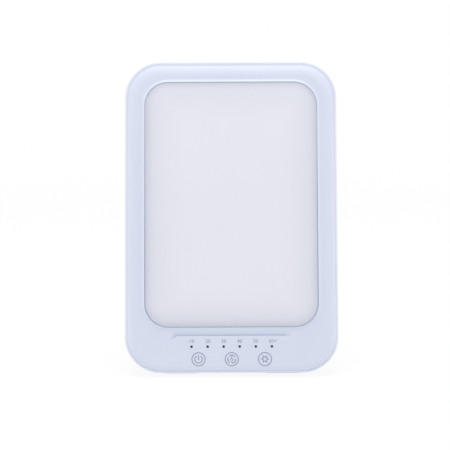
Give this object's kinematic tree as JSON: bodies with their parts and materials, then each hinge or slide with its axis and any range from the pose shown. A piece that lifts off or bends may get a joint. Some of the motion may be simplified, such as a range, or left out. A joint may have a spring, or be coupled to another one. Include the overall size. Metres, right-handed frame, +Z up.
{
  "type": "light therapy lamp",
  "caption": "Flat light therapy lamp with a pillowed opal diffuser in a crowned frame, touch keys, a row of time indicators and a swivelling fold-out rear leg.",
  "frame": {"origin": "on the floor, under the middle of the standing lamp's box", "axes": "+Z up, the lit face looks towards -Y and leans back 15 degrees, +X to the right seen from the front"},
  "size_m": [0.1603, 0.0766, 0.2302],
  "materials": {
    "white_housing": "fine satin moulded ABS",
    "opal_diffuser": "opal acrylic, soft satin",
    "smoked_guide": "smoked polycarbonate",
    "black_foam": "closed-cell foam",
    "white_reflector": "matt white",
    "white_board": "white solder mask",
    "green_board": "green solder mask",
    "cool_emitter": "clear resin over phosphor",
    "warm_emitter": "amber phosphor",
    "zinc_steel": "zinc-plated steel",
    "grey_rubber": "soft grey silicone rubber",
    "black_plastic": "black moulded plastic",
    "nickel_contact": "nickel-plated brass",
    "can_metal": "aluminium can",
    "plug_plastic": "ivory nylon",
    "ribbon_film": "polyester film over flat conductors"
  },
  "bodies": {
    "lamp": {"rear_cover": "white_housing", "front_cover": "white_housing", "diffuser_panel": "opal_diffuser", "indicator_light_guide": "smoked_guide", "diffuser_gasket": "black_foam", "touch_pillars": "black_foam", "reflector_frame": "white_reflector", "led_board": "white_board", "control_board": "green_board", "cool_white_leds": "cool_emitter", "warm_white_leds": "warm_emitter", "indicator_leds": "cool_emitter", "housing_screws": "zinc_steel", "edge_pads": "grey_rubber", "dc_socket": "black_plastic", "touch_controller_chip": "black_plastic", "driver_inductor": "black_plastic", "dc_centre_pin": "nickel_contact", "smoothing_capacitor": "can_metal", "ribbon_plugs": "plug_plastic", "link_ribbon": "ribbon_film"},
    "hub": {"swivel_hub": "white_housing", "hub_holder": "zinc_steel", "hub_screw": "zinc_steel", "hinge_pin": "zinc_steel", "pin_clip": "zinc_steel"},
    "leg": {"stand_leg": "white_housing", "leg_foot": "grey_rubber"}
  },
  "joints": [
    {"name": "stand_swivel", "type": "hinge", "parent": "lamp", "child": "hub", "pos_m": [0, -0.00044, 0.07623], "axis": [0, -0.9659, 0.2588], "range_deg": [0, 90]},
    {"name": "stand_fold", "type": "hinge", "parent": "hub", "child": "leg", "pos_m": [0, 0.00857, 0.09245], "axis": [-1, 0, 0], "range_deg": [0, 27]}
  ]
}
